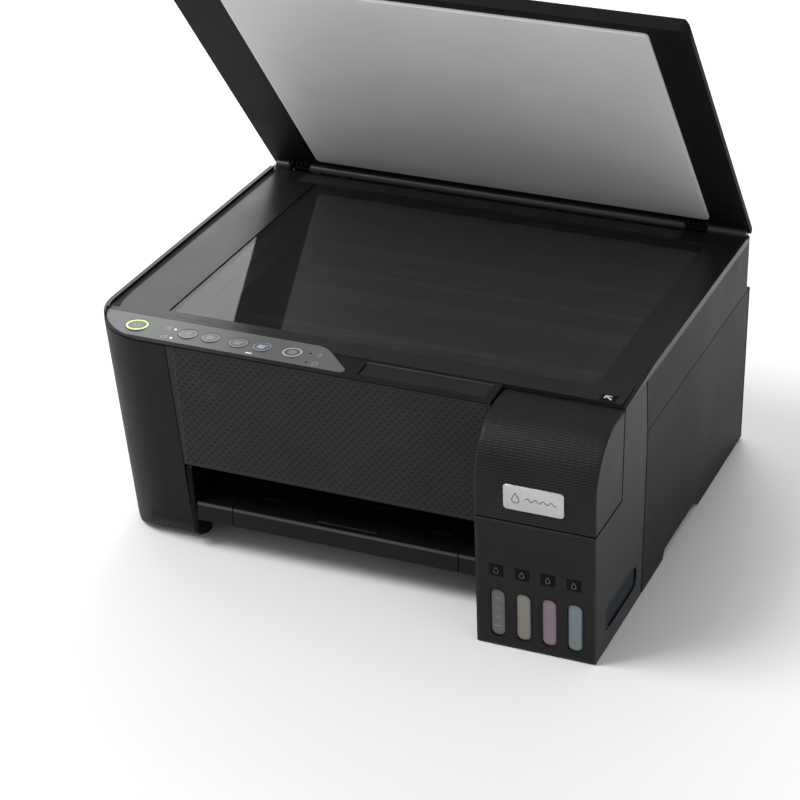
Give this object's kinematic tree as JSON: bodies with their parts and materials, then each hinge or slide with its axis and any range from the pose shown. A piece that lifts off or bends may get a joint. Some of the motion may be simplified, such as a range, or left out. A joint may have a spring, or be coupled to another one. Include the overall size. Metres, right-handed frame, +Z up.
{
  "type": "inkjet printer",
  "caption": "Ink-tank printer with a flatbed scanner under a hinged lid, sloping key panel, sliding output tray and a flip cover over side ink tanks.",
  "frame": {"origin": "centre of the footprint on the surface it stands on", "axes": "+X to the right seen from the front, +Y to the rear, +Z up"},
  "size_m": [0.375, 0.347, 0.3842],
  "materials": {
    "body_plastic": "fine-grained charcoal moulding",
    "textured_plastic": "charcoal moulding with a raised repeat pattern",
    "rim_plastic": "satin charcoal bed rim",
    "inner_plastic": "near-black moulding",
    "white_plastic": "natural white gear plastic",
    "panel_grey": "satin grey panel",
    "cap_plastic": "black caps",
    "tank_clear": "translucent tank wall",
    "platen_glass": "dark clear glass",
    "pad_foam": "grey foam-backed sheet",
    "foot_rubber": "soft black rubber",
    "belt_rubber": "toothed belt",
    "roller_rubber": "grippy roller rubber",
    "sheet_steel": "zinc-plated sheet",
    "polished_steel": "ground steel",
    "brass_pinion": "machined brass",
    "circuit_board": "green board with parts"
  },
  "bodies": {
    "printer_body": {"base_frame": "body_plastic", "rubber_feet": "foot_rubber", "left_cover": "body_plastic", "right_cover": "body_plastic", "rear_cover": "body_plastic", "front_panel": "textured_plastic", "tank_housing": "textured_plastic", "ink_tank_black": "tank_clear", "ink_tank_yellow": "tank_clear", "ink_tank_magenta": "tank_clear", "ink_tank_cyan": "tank_clear", "main_frame": "sheet_steel", "guide_rod": "polished_steel", "carriage_motor": "sheet_steel", "carriage_belt": "belt_rubber", "platen": "inner_plastic", "capping_station": "inner_plastic", "feed_motor": "sheet_steel", "main_board": "circuit_board", "power_supply": "inner_plastic", "power_inlet": "inner_plastic", "usb_port": "polished_steel", "output_tray": "inner_plastic", "rear_feeder": "inner_plastic"},
    "scanner_unit": {"scanner_housing": "body_plastic", "scanner_frame": "rim_plastic", "scanner_glass": "platen_glass", "control_panel": "panel_grey", "scan_rail": "polished_steel"},
    "lid": {"lid_cover": "body_plastic", "document_pad": "pad_foam", "lid_hinges": "inner_plastic"},
    "scan_head": {"scan_carriage": "inner_plastic"},
    "carriage": {"print_carriage": "inner_plastic", "print_head": "inner_plastic"},
    "drive_wheel": {"drive_pulley": "white_plastic"},
    "idler_wheel": {"idler_pulley": "white_plastic"},
    "feed_shaft": {"feed_roller": "polished_steel", "feed_gear": "white_plastic"},
    "pinion": {"motor_pinion": "brass_pinion"},
    "idler": {"idler_gear": "white_plastic"},
    "eject_shaft": {"eject_roller": "roller_rubber"},
    "pickup_shaft": {"pickup_roller": "roller_rubber"},
    "pinch_shaft": {"pinch_rollers": "inner_plastic"},
    "tank_flap": {"tank_cover": "textured_plastic"},
    "cap_black": {"tank_cap_black": "cap_plastic"},
    "cap_yellow": {"tank_cap_yellow": "cap_plastic"},
    "cap_magenta": {"tank_cap_magenta": "cap_plastic"},
    "cap_cyan": {"tank_cap_cyan": "cap_plastic"},
    "extension": {"tray_extension": "inner_plastic"},
    "stop_flap": {"tray_stop": "inner_plastic"},
    "support": {"paper_support": "body_plastic"},
    "support_slide": {"support_extension": "inner_plastic"},
    "guide": {"edge_guide": "inner_plastic"},
    "power_button_key": {"power_button": "panel_grey"},
    "network_button_key": {"network_button": "panel_grey"},
    "status_button_key": {"status_button": "panel_grey"},
    "mono_copy_button_key": {"mono_copy_button": "panel_grey"},
    "colour_copy_button_key": {"colour_copy_button": "panel_grey"},
    "stop_button_key": {"stop_button": "panel_grey"}
  },
  "joints": [
    {"name": "scanner_lift", "type": "hinge", "parent": "printer_body", "child": "scanner_unit", "pos_m": [0, 0.165, 0.158], "axis": [-1, 0, 0], "range_deg": [0, 30]},
    {"name": "lid_hinge", "type": "hinge", "parent": "scanner_unit", "child": "lid", "pos_m": [0, 0.166, 0.1677], "axis": [-1, 0, 0], "range_deg": [-48.8, 26]},
    {"name": "scan_travel", "type": "slide", "parent": "scanner_unit", "child": "scan_head", "axis": [1, 0, 0], "range_m": [0, 0.2679]},
    {"name": "power_button_press", "type": "slide", "parent": "scanner_unit", "child": "power_button_key", "axis": [0, 0, -1], "range_m": [0, 0.0008], "stiffness_N_per_m": 600},
    {"name": "network_button_press", "type": "slide", "parent": "scanner_unit", "child": "network_button_key", "axis": [0, 0, -1], "range_m": [0, 0.0008], "stiffness_N_per_m": 600},
    {"name": "status_button_press", "type": "slide", "parent": "scanner_unit", "child": "status_button_key", "axis": [0, 0, -1], "range_m": [0, 0.0008], "stiffness_N_per_m": 600},
    {"name": "mono_copy_button_press", "type": "slide", "parent": "scanner_unit", "child": "mono_copy_button_key", "axis": [0, 0, -1], "range_m": [0, 0.0008], "stiffness_N_per_m": 600},
    {"name": "colour_copy_button_press", "type": "slide", "parent": "scanner_unit", "child": "colour_copy_button_key", "axis": [0, 0, -1], "range_m": [0, 0.0008], "stiffness_N_per_m": 600},
    {"name": "stop_button_press", "type": "slide", "parent": "scanner_unit", "child": "stop_button_key", "axis": [0, 0, -1], "range_m": [0, 0.0008], "stiffness_N_per_m": 600},
    {"name": "carriage_travel", "type": "slide", "parent": "printer_body", "child": "carriage", "axis": [-1, 0, 0], "range_m": [0, 0.28]},
    {"name": "drive_pulley_spin", "type": "hinge", "parent": "printer_body", "child": "drive_wheel", "pos_m": [-0.1575, 0.048, 0.096], "axis": [0, 0, 1], "range_deg": [0, 2330]},
    {"name": "idler_pulley_spin", "type": "hinge", "parent": "printer_body", "child": "idler_wheel", "pos_m": [0.1635, 0.048, 0.096], "axis": [0, 0, 1], "range_deg": [0, 2330]},
    {"name": "feed_spin", "type": "hinge", "parent": "printer_body", "child": "feed_shaft", "pos_m": [0, 0.062, 0.048], "axis": [1, 0, 0], "continuous": true},
    {"name": "pinion_spin", "type": "hinge", "parent": "printer_body", "child": "pinion", "pos_m": [0, 0.09491, 0.067], "axis": [1, 0, 0], "continuous": true},
    {"name": "idler_spin", "type": "hinge", "parent": "printer_body", "child": "idler", "pos_m": [0, 0.016, 0.048], "axis": [1, 0, 0], "continuous": true},
    {"name": "eject_spin", "type": "hinge", "parent": "printer_body", "child": "eject_shaft", "pos_m": [0, -0.02, 0.048], "axis": [1, 0, 0], "continuous": true},
    {"name": "pickup_spin", "type": "hinge", "parent": "printer_body", "child": "pickup_shaft", "pos_m": [0, 0.1215, 0.06231], "axis": [1, 0, 0], "continuous": true},
    {"name": "pinch_spin", "type": "hinge", "parent": "printer_body", "child": "pinch_shaft", "pos_m": [0, 0.062, 0.0593], "axis": [1, 0, 0], "continuous": true},
    {"name": "tank_cover_flip", "type": "hinge", "parent": "printer_body", "child": "tank_flap", "pos_m": [0, -0.1738, 0.098], "axis": [1, 0, 0], "range_deg": [0, 95]},
    {"name": "cap_black_flip", "type": "hinge", "parent": "printer_body", "child": "cap_black", "pos_m": [0, -0.1255, 0.0912], "axis": [-1, 0, 0], "range_deg": [0, 90]},
    {"name": "cap_yellow_flip", "type": "hinge", "parent": "printer_body", "child": "cap_yellow", "pos_m": [0, -0.1255, 0.0912], "axis": [-1, 0, 0], "range_deg": [0, 90]},
    {"name": "cap_magenta_flip", "type": "hinge", "parent": "printer_body", "child": "cap_magenta", "pos_m": [0, -0.1255, 0.0912], "axis": [-1, 0, 0], "range_deg": [0, 90]},
    {"name": "cap_cyan_flip", "type": "hinge", "parent": "printer_body", "child": "cap_cyan", "pos_m": [0, -0.1255, 0.0912], "axis": [-1, 0, 0], "range_deg": [0, 90]},
    {"name": "tray_pull", "type": "slide", "parent": "printer_body", "child": "extension", "axis": [0, -1, 0], "range_m": [0, 0.075]},
    {"name": "stop_flip", "type": "hinge", "parent": "extension", "child": "stop_flap", "pos_m": [0, -0.11961, 0.0374], "axis": [1, 0, 0], "range_deg": [0, 110]},
    {"name": "support_tilt", "type": "hinge", "parent": "printer_body", "child": "support", "pos_m": [0, 0.1723, 0.098], "axis": [-1, 0, 0], "range_deg": [0, 33]},
    {"name": "support_pull", "type": "slide", "parent": "support", "child": "support_slide", "axis": [0, 0, 1], "range_m": [0, 0.042]},
    {"name": "guide_slide", "type": "slide", "parent": "printer_body", "child": "guide", "axis": [-1, 0, 0], "range_m": [0, 0.06]}
  ],
  "couplings": [
    {"joint": "support_pull", "follows": "support_tilt", "m_per_rad": 0.07275},
    {"joint": "drive_pulley_spin", "follows": "carriage_travel", "rad_per_m": 144.93},
    {"joint": "idler_pulley_spin", "follows": "carriage_travel", "rad_per_m": 144.93},
    {"joint": "pinion_spin", "follows": "feed_spin", "ratio": -3.75},
    {"joint": "idler_spin", "follows": "feed_spin", "ratio": -1.875},
    {"joint": "eject_spin", "follows": "feed_spin", "ratio": 1.5},
    {"joint": "pickup_spin", "follows": "feed_spin", "ratio": 1.5789},
    {"joint": "pinch_spin", "follows": "feed_spin", "ratio": -1.75}
  ]
}
